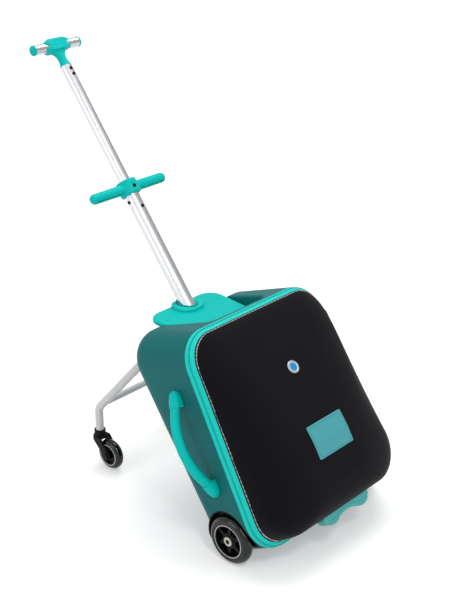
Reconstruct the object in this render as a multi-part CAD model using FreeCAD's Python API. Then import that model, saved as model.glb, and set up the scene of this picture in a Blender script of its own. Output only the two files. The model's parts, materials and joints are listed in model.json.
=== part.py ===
import FreeCAD, Part
import math
import os

# Ride-on suitcase in its riding stance, in millimetres.
# +X is the case's width, -Y the way the cover faces, +Y the way it rides, Z up from the floor.
# The origin is on the floor, midway between the two rear wheels.

# Stance
case_lean = 30.25
pole_lean = 38.1
rear_wheel_radius = 45.0
axle_above_bottom = 38.7
wheel_behind_rim = 57.2
pole_behind_rim = 105.6

# Case shell
case_width = 374.0
case_height = 398.0
case_corner = 60.0
case_top_draw = 12.0
case_depth_limit = 205.0
side_taper_share = 0.075
top_rise_share = 0.2
shell_wall = 3.0
back_offset = 27.0
back_corner = 35.0

# Clearances
fit_gap = 0.3
slip_gap = 0.15
run_gap = 0.08
bolt_gap = 0.04
overrun = 20.0

# Saddle recess and seat plate
seat_below_top = 39.6
seat_thickness = 9.0
seat_rib_height = 5.0
seat_rib_width = 4.0
seat_rib_inset = 7.0
seat_back_reach = 27.0
seat_front_reach = 124.0
seat_back_half_width = 89.0
seat_front_half_width = 71.0
seat_back_corner = 30.0
seat_front_corner = 18.0
seat_edge_round = 3.5
recess_gap = 3.0
wing_round = 5.0
collar_width = 60.0
collar_length = 56.0
collar_height = 7.0
collar_round = 2.5
seat_screw_radius = 4.5
seat_screw_shank = 2.0
seat_screw_head = 2.2
seat_screw_back = 8.0
seat_screw_front = 92.0
seat_screw_inset = 22.0

# Lining
lining_thickness = 1.2
lining_corner = 30.0
lining_well_room = 4.0

# Zip band and cover
zip_tape_width = 8.0
zip_tape_thickness = 2.2
zip_gap = 0.6
zip_shell_draw = 2.0
zip_cover_draw = 5.0
hinge_half_width = 110.0
hinge_gap = 0.5
piping_depth = 2.4
piping_width = 3.0
piping_gap = 0.2
cover_rise = 66.0
cover_wall = 3.5
cover_inset = 9.0
cover_crown_share = 0.3
cover_rise_shares = [0.0, 0.20, 0.43, 0.66, 0.83, 0.95, 1.0]
cover_low_shares = [1.0, 0.995, 0.985, 0.945, 0.87, 0.70, 0.47]
cover_high_shares = [1.0, 0.955, 0.88, 0.77, 0.65, 0.48, 0.33]
cover_top_shares = [1.0, 0.935, 0.75, 0.50, 0.29, 0.10, 0.0]
cover_bottom_shares = [1.0, 0.998, 0.985, 0.925, 0.825, 0.675, 0.58]
cover_corner_shares = [0.29, 0.30, 0.31, 0.32, 0.31, 0.245, 0.155]

# Trim on the cover
badge_radius = 12.0
badge_thickness = 1.6
badge_height = 74.0
badge_tilt = 13.8
badge_depth = 12.0
label_width = 92.0
label_height = 60.0
label_middle = -57.0
label_corner = 3.0
label_thickness = 1.2
foot_half_width = 63.0
foot_front = 56.0
foot_back = 34.0
foot_lobe = 13.0
foot_arch = 8.0
foot_height = 34.0
foot_below_edge = 4.0

# Zip slider
slider_height = 128.0
slider_length = 13.0
slider_width = 9.0
slider_thickness = 4.5
slider_bridge = 3.6
bridge_width = 3.4
bridge_length = 6.0
pull_length = 26.0
pull_width = 8.0
pull_thickness = 1.8
pull_eye = 4.0
pull_head = 1.1
pull_pin_radius = 1.0
pull_pin_rise = 1.6

# Telescopic pole, lengths along it
sleeve_outer = 17.5
sleeve_inner = 16.0
sleeve_foot_above = 49.0
lower_tube_radius = 14.1
lower_tube_wall = 1.5
lower_tube_length = 356.0
lower_tube_show = 264.0
guide_length = 30.0
upper_tube_radius = 11.0
upper_tube_wall = 1.5
upper_tube_inside = 102.0
tube_bush_length = 26.0
bush_lip = 1.2

# Child handlebar
bar_half_length = 94.0
bar_below_top = 14.5
bar_radius = 10.4
bar_end_radius = 10.0
hub_radius = 20.5
hub_height = 29.0
hub_round = 3.0
bar_screw_radius = 3.6
bar_screw_drop = 2.5
bar_screw_head = 2.5

# Lock button and rivets
button_below_top = 41.0
button_radius = 3.2
button_proud = 1.6
rivet_below_top = 57.0
rivet_radius = 2.0
rivet_head_radius = 3.2
rivet_head = 0.9
grip_rivet_spacing = 11.6
grip_rivet_first = 9.5

# Pull grip
grip_rise = 289.0
grip_half_length = 56.5
grip_tube_radius = 9.4
grip_tube_wall = 1.4
grip_cap_length = 4.0
grip_cap_lip = 0.3
grip_cap_round = 1.5
grip_cap_plug = 10.0
grip_sleeve_half = 32.0
grip_notch_half = 20.0
grip_hump_half = 13.0
grip_hump_height = 15.0
grip_shoulder = 9.5
grip_sleeve_low = 10.5
grip_sleeve_depth = 11.6
grip_neck_length = 43.0
grip_neck_waist = 8.4
grip_neck_lip = 0.5
grip_neck_flare = 21.0
grip_flare_corner = 6.0
grip_plug_length = 26.0
neck_corner_share = 0.98

# Rear wheels
rear_wheel_width = 21.6
wheel_inboard = 10.4
tyre_inner_share = 0.70
tyre_shoulder_share = 0.36
rim_inner_share = 0.61
hub_boss_radius = 14.5
hub_boss_inset = 3.4
spoke_count = 6
spoke_width = 7.0
spoke_inset = 4.0
bearing_radius = 11.0
bearing_width = 7.0
axle_radius = 4.0
bolt_head_radius = 6.4
bolt_head_height = 3.0
well_radius = 52.0
housing_skin = 2.5
housing_disc = 9.0
wheel_side_gap = 1.4

# Leg frame
leg_inboard = 78.3
leg_tube_radius = 8.0
leg_tube_wall = 1.6
leg_pivot_gap = 13.0
leg_pivot_below_top = 13.8
leg_bend_radius = 26.0
stem_ride = 409.8
stem_end_height = 64.0
leg_bend_height = 122.0
cross_tube_radius = 6.5
cross_tube_back = 20.0
pivot_pin_radius = 4.0
pivot_head = 2.5
pivot_head_radius = 6.5
ear_thickness = 5.0
ear_half_height = 10.5
bracket_base = 4.0
bracket_half_height = 19.0
bracket_half_width = 17.0
stop_start = 1.0
stop_length = 9.0
stop_thickness = 3.0

# Casters
caster_radius = 30.6
caster_width = 18.0
caster_trail = 29.8
caster_tyre_share = 0.70
caster_bore = 4.0
caster_boss_radius = 9.0
caster_web_inset = 4.0
fork_arm = 4.0
fork_side_gap = 1.2
fork_tread_gap = 2.0
fork_crown_radius = 13.5
fork_crown_height = 9.0
fork_cup_height = 12.0
fork_cup_radius = 11.0
fork_pin_length = 34.0
fork_eye_radius = 9.5
fork_bolt_head = 2.6
fork_bolt_head_radius = 6.0

# Carry handle on the left side
carry_top = 98.0
carry_bottom = -61.0
carry_top_depth = 52.0
carry_bottom_depth = 42.0
carry_bow = 35.5
carry_radius = 8.4
carry_cap_half_length = 15.5
carry_cap_shift = 5.0
carry_cap_mouth = 10.5
carry_cap_tip = 8.5
carry_cap_draft = 1.5
carry_cap_slope = 7.0
carry_cap_root = 6.0
carry_cap_mouth_corner = 3.0
carry_cap_tip_corner = 5.5
carry_cap_height = 17.0
carry_cap_round = 3.0
carry_seat = 6.0

x_axis = FreeCAD.Vector(1, 0, 0)
y_axis = FreeCAD.Vector(0, 1, 0)
z_axis = FreeCAD.Vector(0, 0, 1)
origin = FreeCAD.Vector(0, 0, 0)

os.makedirs("parts", exist_ok=True)


def save(name, shape):
    shape.exportStep("parts/" + name + ".step")
    print(name, "solids", len(shape.Solids), "valid", shape.isValid(), "volume", round(shape.Volume))


def at(x, y, z):
    return FreeCAD.Vector(x, y, z)


def placed(shape, frame):
    moved = shape.copy()
    moved.Placement = frame.multiply(moved.Placement)
    return moved


def rounded_wire(points, *corners):
    # Closed outline through straight runs, its corners rounded to one radius or to each its own.
    arcs = []
    for index, point in enumerate(points):
        corner = corners[index % len(corners)]
        before = (points[index - 1] - point).normalize()
        after = (points[(index + 1) % len(points)] - point).normalize()
        half = before.getAngle(after) / 2
        reach = corner / math.tan(half)
        middle = (before + after).normalize()
        crest = point + middle * (corner / math.sin(half) - corner)
        arcs.append((point + before * reach, crest, point + after * reach))
    edges = []
    for index, (start, crest, end) in enumerate(arcs):
        edges.append(Part.Arc(start, crest, end).toShape())
        edges.append(Part.LineSegment(end, arcs[(index + 1) % len(arcs)][0]).toShape())
    return Part.Wire(edges)


def prism(points, reach, *corners):
    return Part.Face(rounded_wire(points, *corners)).extrude(reach)


def block(x0, x1, y0, y1, z0, z1):
    return Part.makeBox(x1 - x0, y1 - y0, z1 - z0, at(x0, y0, z0))


def rod(radius, start, end):
    run = end - start
    return Part.makeCylinder(radius, run.Length, start, run)


def ring(outer, inner, start, end):
    run = (end - start).normalize() * overrun
    return rod(outer, start, end).cut(rod(inner, start - run, end + run))


def across(radius, centre):
    return rod(radius, centre - x_axis * case_width, centre + x_axis * case_width)


def group(shapes):
    return Part.makeCompound(shapes)


# Frames: the case leans back on its rear wheels, the pole leans a little more.
lean = math.radians(case_lean)
case_up = at(0, math.sin(lean), math.cos(lean))
case_back = at(0, math.cos(lean), -math.sin(lean))
rear_axle = at(0, 0, rear_wheel_radius)
half_width = case_width / 2
half_height = case_height / 2
wheel_below_rim = half_height - axle_above_bottom
rim_centre = rear_axle + case_up * wheel_below_rim - case_back * wheel_behind_rim
case_frame = FreeCAD.Placement(rim_centre, FreeCAD.Rotation(x_axis, -case_lean))
pole_origin = rim_centre + case_back * pole_behind_rim
pole_frame = FreeCAD.Placement(pole_origin, FreeCAD.Rotation(x_axis, -pole_lean))

# Places along the pole, measured from the rim's middle
tilt = math.radians(pole_lean)
seat_height = rim_centre.z + half_height * math.cos(lean) - seat_below_top
seat_along = (seat_height - pole_origin.z) / math.cos(tilt)
seat_centre = pole_frame.multVec(at(0, 0, seat_along))
lower_top = seat_along + lower_tube_show
lower_end = lower_top - lower_tube_length
upper_end = lower_top - upper_tube_inside
grip_along = lower_top + grip_rise
upper_top = grip_along - grip_neck_length
lower_bore = lower_tube_radius - lower_tube_wall
upper_bore = upper_tube_radius - upper_tube_wall
recess_floor = seat_height - seat_thickness - seat_rib_height
half_track = half_width - wheel_inboard
leg_half_track = half_width - leg_inboard
leg_pivot_height = half_height - leg_pivot_below_top
well_face = half_track - rear_wheel_width / 2 - wheel_side_gap
well_outer = well_radius + housing_skin
housing_back = well_face - housing_disc


def side_at(level, depth):
    # Half width of the case: it narrows to the back and a little to the top.
    return half_width - side_taper_share * depth - case_top_draw * (level + half_height) / case_height


def keystone(depth, bottom, top, low, high):
    return [at(-low, depth, bottom), at(low, depth, bottom), at(high, depth, top), at(-high, depth, top)]


def case_section(depth, inset):
    top = half_height + top_rise_share * depth - inset
    bottom = inset - half_height
    low = side_at(bottom, depth) - inset
    high = side_at(top, depth) - inset
    return rounded_wire(keystone(depth, bottom, top, low, high), case_corner - inset)


def seat_points(gap, back_reach, height):
    back = seat_centre.y + back_reach
    front = seat_centre.y - seat_front_reach - gap
    spread = (seat_back_half_width - seat_front_half_width) / (seat_back_reach + seat_front_reach)
    wide = seat_back_half_width + gap + spread * (back_reach - seat_back_reach)
    slim = seat_front_half_width + gap
    nose = [at(slim, front, height), at(-slim, front, height)]
    return [at(-wide, back, height), at(wide, back, height)] + nose


def case_body(inset, front, back_plane, corner, well_room):
    # The case's outer form drawn in by an inset, with its saddle and wheel wells taken out.
    body = Part.makeLoft([case_section(front, inset), case_section(case_depth_limit, inset)], True, True)
    body = placed(body, case_frame)
    behind = block(-case_width, case_width, back_plane, back_plane + case_width, -case_height, case_height)
    body = body.cut(placed(behind, pole_frame))
    normal = pole_frame.Rotation.multVec(y_axis)
    plane_point = pole_frame.multVec(at(0, back_plane, 0))
    rear_edges = []
    for edge in body.Edges:
        spots = [edge.valueAt(edge.FirstParameter), edge.valueAt(edge.LastParameter), edge.CenterOfMass]
        if max(abs((spot - plane_point).dot(normal)) for spot in spots) < run_gap:
            rear_edges.append(edge)
    body = body.makeFillet(corner, rear_edges)
    saddle = prism(seat_points(recess_gap + inset, case_width, recess_floor - inset), z_axis * case_height,
                   seat_front_corner)
    body = body.cut(saddle)
    for side in (-1, 1):
        room = inset + well_room
        start = rear_axle + x_axis * (side * (housing_back - fit_gap - room))
        body = body.cut(rod(well_outer + slip_gap + room, start, start + x_axis * (side * case_width)))
    return body


def round_wings(body):
    # The wings' crests along the saddle are rounded, as the floor's edges are not.
    saddle = prism(seat_points(recess_gap, case_width, recess_floor), z_axis * case_height, seat_front_corner)
    walls = [face for face in saddle.Faces if face.BoundBox.ZLength > case_height / 2]
    crests = []
    for edge in body.Edges:
        spots = [Part.Vertex(edge.valueAt(edge.FirstParameter)), Part.Vertex(edge.valueAt(edge.LastParameter)),
                 Part.Vertex(edge.valueAt((edge.FirstParameter + edge.LastParameter) / 2))]
        heading = edge.tangentAt((edge.FirstParameter + edge.LastParameter) / 2)
        on_wall = all(min(wall.distToShape(spot)[0] for wall in walls) < run_gap for spot in spots)
        on_floor = max(spot.Point.z for spot in spots) < recess_floor + run_gap
        if on_wall and not on_floor and abs(heading.z) < math.cos(lean / 4):
            crests.append(edge)
    return body.makeFillet(wing_round, crests)


outer_form = round_wings(case_body(0, 0, back_offset, back_corner, 0))


def build_case():
    cavity = case_body(shell_wall, -overrun, back_offset - shell_wall, back_corner - shell_wall, 0)
    shell = outer_form.cut(cavity)
    pole_hole = rod(sleeve_outer + slip_gap, origin, z_axis * case_height)
    shell = shell.cut(placed(pole_hole, pole_frame))
    save("rear_shell", shell)
    # The lining hangs clear of the walls and passes in front of the pole sleeve.
    lining_plane = -sleeve_outer - shell_wall
    wide = shell_wall + fit_gap
    slim = wide + lining_thickness
    skin = case_body(wide, 0, lining_plane, lining_corner, lining_well_room)
    hollow = case_body(slim, -overrun, lining_plane - lining_thickness, lining_corner - lining_thickness,
                       lining_well_room)
    save("lining", skin.cut(hollow))


def seat_screw_places():
    places = []
    for side in (-1, 1):
        wide = side * (seat_back_half_width - seat_screw_inset)
        slim = side * (seat_front_half_width - seat_screw_inset)
        places.append(at(wide, seat_centre.y - seat_screw_back, seat_height))
        places.append(at(slim, seat_centre.y - seat_screw_front, seat_height))
    return places


def build_seat():
    drop = z_axis * -seat_thickness
    corners = [seat_back_corner, seat_back_corner, seat_front_corner, seat_front_corner]
    plate = prism(seat_points(0, seat_back_reach, seat_height), drop, *corners)
    top_edges = [edge for edge in plate.Edges if edge.BoundBox.ZMin > seat_height - run_gap]
    plate = plate.makeFillet(seat_edge_round, top_edges)
    low = seat_height - seat_thickness
    rib_drop = z_axis * -seat_rib_height
    rib_outer = prism(seat_points(-seat_rib_inset, seat_back_reach - seat_rib_inset, low), rib_drop, *corners)
    slim_inset = seat_rib_inset + seat_rib_width
    rib_inner = prism(seat_points(-slim_inset, seat_back_reach - slim_inset, low), rib_drop, *corners)
    plate = plate.fuse(rib_outer.cut(rib_inner))
    # Raised collar round the pole, cut off level with the plate's back edge.
    middle = seat_centre.y + collar_height / 2 * math.tan(tilt)
    wide = collar_width / 2
    deep = collar_length / 2
    outline = [at(-wide, middle - deep, low), at(wide, middle - deep, low), at(wide, middle + deep, low),
               at(-wide, middle + deep, low)]
    crest = seat_height + collar_height
    collar = prism(outline, z_axis * (crest - low), collar_length / 2 - collar_round)
    rim = [edge for edge in collar.Edges if edge.BoundBox.ZMin > crest - run_gap]
    collar = collar.makeFillet(collar_round, rim)
    back_edge = seat_centre.y + seat_back_reach
    behind = block(-case_width, case_width, back_edge, back_edge + case_width, low - overrun, crest + overrun)
    plate = plate.fuse(collar.cut(behind)).removeSplitter()
    bush_hole = rod(sleeve_outer + slip_gap, origin, z_axis * (seat_along + case_width))
    plate = plate.cut(placed(bush_hole, pole_frame))
    screws = []
    for place in seat_screw_places():
        head_floor = place - z_axis * seat_screw_head
        plate = plate.cut(rod(seat_screw_radius + slip_gap, head_floor, place + z_axis * overrun))
        plate = plate.cut(rod(seat_screw_shank + slip_gap, place + drop * 2, place))
        head = rod(seat_screw_radius, head_floor, place)
        shank = rod(seat_screw_shank, at(place.x, place.y, recess_floor + fit_gap), place)
        screws.append(head.fuse(shank).removeSplitter())
    save("seat_plate", plate)
    save("seat_screws", group(screws))
    # Sleeve that houses the pole, trimmed level under the seat, and the bush in the collar.
    sleeve = ring(sleeve_outer, sleeve_inner, z_axis * (sleeve_foot_above - half_height),
                  z_axis * (seat_along + overrun))
    above = block(-case_width, case_width, -case_height, case_height, recess_floor, case_height * 2)
    save("pole_sleeve", placed(sleeve, pole_frame).cut(above))
    bush = ring(sleeve_outer, lower_tube_radius + run_gap, origin, z_axis * (seat_along + case_width))
    below = block(-case_width, case_width, -case_height, case_height * 2, -case_height, recess_floor + fit_gap)
    above = block(-case_width, case_width, -case_height, case_height * 2, crest + bush_lip, case_height * 2)
    save("sleeve_bush", placed(bush, pole_frame).cut(below).cut(above))


def band(front_depth, back_depth, front_inset, back_inset, thickness):
    # Tapered band round the rim between two depths, a tape's thickness deep.
    def loop(depth, inset):
        end = half_height - inset
        outline = keystone(depth, -end, end, side_at(-end, 0) - inset, side_at(end, 0) - inset)
        return rounded_wire(outline, case_corner - inset)
    outer = Part.makeLoft([loop(back_depth, back_inset), loop(front_depth, front_inset)], True, True)
    inner_loops = [loop(back_depth, back_inset + thickness), loop(front_depth, front_inset + thickness)]
    return outer.cut(Part.makeLoft(inner_loops, True, True))


def hinge_zone(reach):
    return block(-reach, reach, -case_width, case_width, -case_height, -half_height / 2)


zip_meet = zip_tape_width + zip_gap
zip_front = zip_meet + zip_tape_width
zip_inset = zip_shell_draw + zip_gap
piping_back = zip_front + piping_gap
cover_back = piping_back + piping_depth + piping_gap


def build_zip():
    shell_band = band(-zip_tape_width, 0, zip_shell_draw, 0, zip_tape_thickness)
    cover_band = band(-zip_front, -zip_meet, zip_inset + zip_cover_draw, zip_inset, zip_tape_thickness)
    # The zip stops short of the middle of the bottom edge, where a fabric hinge carries on.
    for name, strip, hinge_name in (("shell_zip_tape", shell_band, "hinge_fabric"),
                                    ("cover_zip_tape", cover_band, "cover_hinge_strip")):
        save(name, placed(strip.cut(hinge_zone(hinge_half_width + hinge_gap)), case_frame))
        save(hinge_name, placed(strip.common(hinge_zone(hinge_half_width)), case_frame))
    piping = band(-piping_back - piping_depth, -piping_back, cover_inset - piping_width / 2,
                  cover_inset - piping_width / 2, piping_width)
    save("cover_piping", placed(piping, case_frame))


def cover_form(inset):
    # Domed moulding: stacked outlines that close in on a crown below the middle.
    end = half_height - cover_inset - inset
    crown = half_height * -cover_crown_share
    low_side = side_at(-end, 0) - cover_inset - inset
    high_side = side_at(end, 0) - cover_inset - inset
    loops = []
    for index, rise_share in enumerate(cover_rise_shares):
        depth = -cover_back - (cover_rise - inset) * rise_share
        top = crown + (end - crown) * cover_top_shares[index]
        bottom = crown - (end + crown) * cover_bottom_shares[index]
        low = low_side * cover_low_shares[index]
        high = high_side * cover_high_shares[index]
        outline = keystone(depth, bottom, top, low, high)
        loops.append(rounded_wire(outline, end * cover_corner_shares[index]))
    return Part.makeLoft(loops, True, False)


cover_outer = cover_form(0)


def build_cover():
    hollow = cover_form(cover_wall)
    save("cover_shell", placed(cover_outer.cut(hollow), case_frame))
    # Plain round badge, seated on the dome square to its surface.
    dome_front = -cover_back - cover_rise
    slant = math.radians(badge_tilt)
    out = at(0, -math.cos(slant), math.sin(slant))
    line = Part.LineSegment(at(0, 0, badge_height), at(0, dome_front - overrun, badge_height)).toShape()
    touch = min((vertex.Point for vertex in cover_outer.common(line).Vertexes), key=lambda point: point.y)
    disc = rod(badge_radius, touch - out * badge_depth, touch + out * badge_thickness)
    save("badge_disc", placed(disc.cut(cover_outer), case_frame))
    label_low = label_middle - label_height / 2
    label_high = label_middle + label_height / 2
    label_face = dome_front - label_thickness
    corners = [at(-label_width / 2, label_face, label_low), at(label_width / 2, label_face, label_low),
               at(label_width / 2, label_face, label_high), at(-label_width / 2, label_face, label_high)]
    label = prism(corners, y_axis * badge_depth, label_corner)
    save("label_patch", placed(label.cut(cover_outer), case_frame))
    build_foot()


def build_foot():
    # Standing foot under the cover's belly: two lobes with an arch between them.
    low = -half_height - foot_below_edge
    arch = low + foot_arch
    lobe = foot_half_width - foot_lobe
    top = low + foot_height
    turn = low + foot_arch / 2
    shoulder = low + foot_lobe
    left_top = at(-foot_half_width, 0, top)
    right_top = at(foot_half_width, 0, top)
    left_shoulder = at(-foot_half_width, 0, shoulder)
    right_shoulder = at(foot_half_width, 0, shoulder)
    left_turn = at(-lobe / 2, 0, turn)
    right_turn = at(lobe / 2, 0, turn)
    runs = [Part.LineSegment(left_top, left_shoulder), Part.Arc(left_shoulder, at(-lobe, 0, low), left_turn),
            Part.Arc(left_turn, at(0, 0, arch), right_turn),
            Part.Arc(right_turn, at(lobe, 0, low), right_shoulder),
            Part.LineSegment(right_shoulder, right_top), Part.LineSegment(right_top, left_top)]
    face = Part.Face(Part.Wire([run.toShape() for run in runs]))
    foot = face.extrude(y_axis * (foot_back - foot_front))
    foot.translate(y_axis * -foot_back)
    save("standing_foot", placed(foot.cut(cover_outer), case_frame))


def build_slider():
    outer = side_at(slider_height, 0) - zip_shell_draw / 2 + fit_gap
    middle = -zip_tape_width - zip_gap / 2
    draw_angle = math.degrees(math.atan2(case_top_draw, case_height))
    slider_place = at(outer, middle, slider_height)
    low = slider_height - slider_length / 2
    corners = [at(outer, middle - slider_width / 2, low), at(outer, middle + slider_width / 2, low),
               at(outer, middle + slider_width / 2, low + slider_length),
               at(outer, middle - slider_width / 2, low + slider_length)]
    plate = prism(corners, x_axis * slider_thickness, bridge_width / 2)
    face = outer + slider_thickness
    post = block(face - fit_gap, face + slider_bridge, middle - bridge_width / 2, middle + bridge_width / 2,
                 slider_height - bridge_length / 2, slider_height + bridge_length / 2)
    pin_axis = at(face + pull_pin_rise, middle, slider_height)
    side_reach = y_axis * (pull_width / 2)
    slider = plate.fuse(post).removeSplitter()
    slider = slider.cut(rod(pull_pin_radius + run_gap, pin_axis - side_reach, pin_axis + side_reach))
    slider.rotate(slider_place, y_axis, -draw_angle)
    save("zip_slider", placed(slider, case_frame))
    # Flat pull hung on a pin through the slider's bridge, with an eye that swings clear of it.
    plane = pin_axis.x - pull_thickness / 2
    top = slider_height + pull_head
    corners = [at(plane, middle - pull_width / 2, top - pull_length),
               at(plane, middle + pull_width / 2, top - pull_length),
               at(plane, middle + pull_width / 2, top), at(plane, middle - pull_width / 2, top)]
    pull = prism(corners, x_axis * pull_thickness, pull_pin_radius)
    eye_half = bridge_width / 2 + fit_gap
    eye = block(plane - overrun, plane + overrun, middle - eye_half, middle + eye_half,
                slider_height - pull_eye, top + overrun)
    pull = pull.cut(eye).fuse(rod(pull_pin_radius, pin_axis - side_reach, pin_axis + side_reach))
    pull = pull.removeSplitter()
    pull.rotate(slider_place, y_axis, -draw_angle)
    save("zip_pull", placed(pull, case_frame))


def build_lower_pole():
    tube = ring(lower_tube_radius, lower_bore, z_axis * lower_end, z_axis * lower_top)
    button_level = z_axis * (lower_top - button_below_top)
    left = x_axis * -lower_tube_radius
    tube = tube.cut(rod(button_radius + run_gap, button_level, button_level + left * 2))
    rivet_level = z_axis * (lower_top - rivet_below_top)
    front = y_axis * -lower_tube_radius
    tube = tube.cut(rod(rivet_radius + bolt_gap, rivet_level, rivet_level + front * 2))
    save("lower_tube", placed(tube, pole_frame))
    inner = x_axis * -(lower_bore + run_gap)
    button = rod(button_radius, button_level + inner, button_level + left - x_axis * button_proud)
    save("lock_button", placed(button, pole_frame))
    rivet = rod(rivet_radius, rivet_level - y_axis * (lower_bore + run_gap), rivet_level + front)
    head = rod(rivet_head_radius, rivet_level + front, rivet_level + front - y_axis * rivet_head)
    head = head.cut(rod(lower_tube_radius + bolt_gap, z_axis * lower_end, z_axis * lower_top))
    save("tube_rivet", placed(rivet.fuse(head), pole_frame))
    guide = ring(sleeve_inner - run_gap, lower_tube_radius + bolt_gap, z_axis * lower_end,
                 z_axis * (lower_end + guide_length))
    save("lower_tube_guide", placed(guide, pole_frame))
    bush = ring(lower_bore - bolt_gap, upper_tube_radius + run_gap, z_axis * (lower_top - tube_bush_length),
                z_axis * lower_top)
    save("tube_bush", placed(bush, pole_frame))
    build_handlebar()


def build_handlebar():
    middle = z_axis * (lower_top - bar_below_top)
    hub = rod(hub_radius, z_axis * (lower_top - hub_height), z_axis * lower_top)
    hub = hub.makeFillet(hub_round, hub.Edges)
    bar = hub
    for side in (-1, 1):
        end = middle + x_axis * (side * (bar_half_length - bar_end_radius))
        arm = Part.makeCone(bar_radius, bar_end_radius, (end - middle).Length, middle, x_axis * side)
        bar = bar.fuse(arm).fuse(Part.makeSphere(bar_end_radius, end))
    bore = rod(lower_tube_radius + bolt_gap, z_axis * lower_end, z_axis * (lower_top + overrun))
    bar = bar.cut(bore)
    face = middle - y_axis * hub_radius - z_axis * bar_screw_drop
    pocket_floor = face + y_axis * bar_screw_head
    bar = bar.cut(rod(bar_screw_radius + slip_gap, pocket_floor, face - y_axis * overrun))
    screw = rod(bar_screw_radius, pocket_floor, face + y_axis * fit_gap)
    save("handlebar", placed(bar, pole_frame))
    save("handlebar_screw", placed(screw, pole_frame))


def build_upper_pole():
    tube = ring(upper_tube_radius, upper_bore, z_axis * upper_end, z_axis * upper_top)
    front = y_axis * -upper_tube_radius
    rivets = []
    for index in range(2):
        level = z_axis * (upper_top - grip_rivet_first - grip_rivet_spacing * index)
        tube = tube.cut(rod(rivet_radius + bolt_gap, level, level + front * 2))
        shank = rod(rivet_radius, level - y_axis * (upper_bore + run_gap), level + front)
        head = rod(rivet_head_radius, level + front, level + front - y_axis * rivet_head)
        head = head.cut(rod(upper_tube_radius + bolt_gap, z_axis * upper_end, z_axis * upper_top))
        rivets.append(shank.fuse(head))
    save("upper_tube", placed(tube, pole_frame))
    save("grip_rivets", placed(group(rivets), pole_frame))
    guide = ring(lower_bore - run_gap, upper_tube_radius + bolt_gap, z_axis * upper_end,
                 z_axis * (upper_end + guide_length))
    save("upper_tube_guide", placed(guide, pole_frame))
    build_pull_grip()


def neck_ring(half_wide, half_deep, corner, level):
    outline = [at(-half_wide, -half_deep, level), at(half_wide, -half_deep, level),
               at(half_wide, half_deep, level), at(-half_wide, half_deep, level)]
    return rounded_wire(outline, corner)


def build_pull_grip():
    # Waisted neck that plugs into the upper tube and spreads into a notched sleeve over the cross tube.
    middle = z_axis * grip_along
    foot = upper_tube_radius + grip_neck_lip
    waist = grip_neck_waist
    sleeve_foot = grip_along - grip_sleeve_low
    rings = [neck_ring(foot, foot, foot * neck_corner_share, upper_top),
             neck_ring(waist, waist, waist * neck_corner_share, (upper_top + sleeve_foot) / 2),
             neck_ring(grip_neck_flare, grip_tube_radius, grip_flare_corner, grip_along - grip_sleeve_low / 2)]
    neck = Part.makeLoft(rings, True, False)
    plug = rod(upper_bore - bolt_gap, z_axis * (upper_top - grip_plug_length), z_axis * upper_top)
    face = y_axis * -grip_sleeve_depth
    outline = [at(-grip_sleeve_half, 0, -grip_sleeve_low), at(-grip_notch_half, 0, 0),
               at(-grip_sleeve_half, 0, grip_shoulder), at(-grip_hump_half, 0, grip_hump_height),
               at(grip_hump_half, 0, grip_hump_height), at(grip_sleeve_half, 0, grip_shoulder),
               at(grip_notch_half, 0, 0), at(grip_sleeve_half, 0, -grip_sleeve_low)]
    outline = [point + face + middle for point in outline]
    sleeve = Part.Face(Part.makePolygon(outline + outline[:1])).extrude(face * -2)
    sleeve = sleeve.common(across(grip_hump_height, middle))
    grip = neck.fuse(plug).fuse(sleeve).removeSplitter()
    grip = grip.cut(across(grip_tube_radius + bolt_gap, middle))
    save("t_grip", placed(grip, pole_frame))
    tube_end = grip_half_length - grip_cap_length
    cross = ring(grip_tube_radius, grip_tube_radius - grip_tube_wall, middle - x_axis * tube_end,
                 middle + x_axis * tube_end)
    save("t_bar", placed(cross, pole_frame))
    for side, name in ((-1, "grip_cap_left"), (1, "grip_cap_right")):
        start = middle + x_axis * (side * tube_end)
        cap = rod(grip_tube_radius + grip_cap_lip, start, start + x_axis * (side * grip_cap_length))
        rim = [edge for edge in cap.Edges if abs(edge.CenterOfMass.x) > grip_half_length - run_gap]
        cap = cap.makeFillet(grip_cap_round, rim)
        grip_bore = grip_tube_radius - grip_tube_wall
        plug = rod(grip_bore - bolt_gap, start - x_axis * (side * grip_cap_plug), start)
        save(name, placed(cap.fuse(plug).removeSplitter(), pole_frame))


def wheel_tyre(centre, radius, width, inner):
    # Tyre section: flat sides, round shoulders and a crowned tread, turned about the axle.
    half = width / 2
    shoulder = radius - half * tyre_shoulder_share * 2
    profile = [Part.LineSegment(at(-half, 0, inner), at(-half, 0, shoulder)).toShape(),
               Part.Arc(at(-half, 0, shoulder), at(0, 0, radius), at(half, 0, shoulder)).toShape(),
               Part.LineSegment(at(half, 0, shoulder), at(half, 0, inner)).toShape(),
               Part.LineSegment(at(half, 0, inner), at(-half, 0, inner)).toShape()]
    tyre = Part.Face(Part.Wire(profile)).revolve(origin, x_axis, 360)
    tyre.translate(centre)
    return tyre


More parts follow.
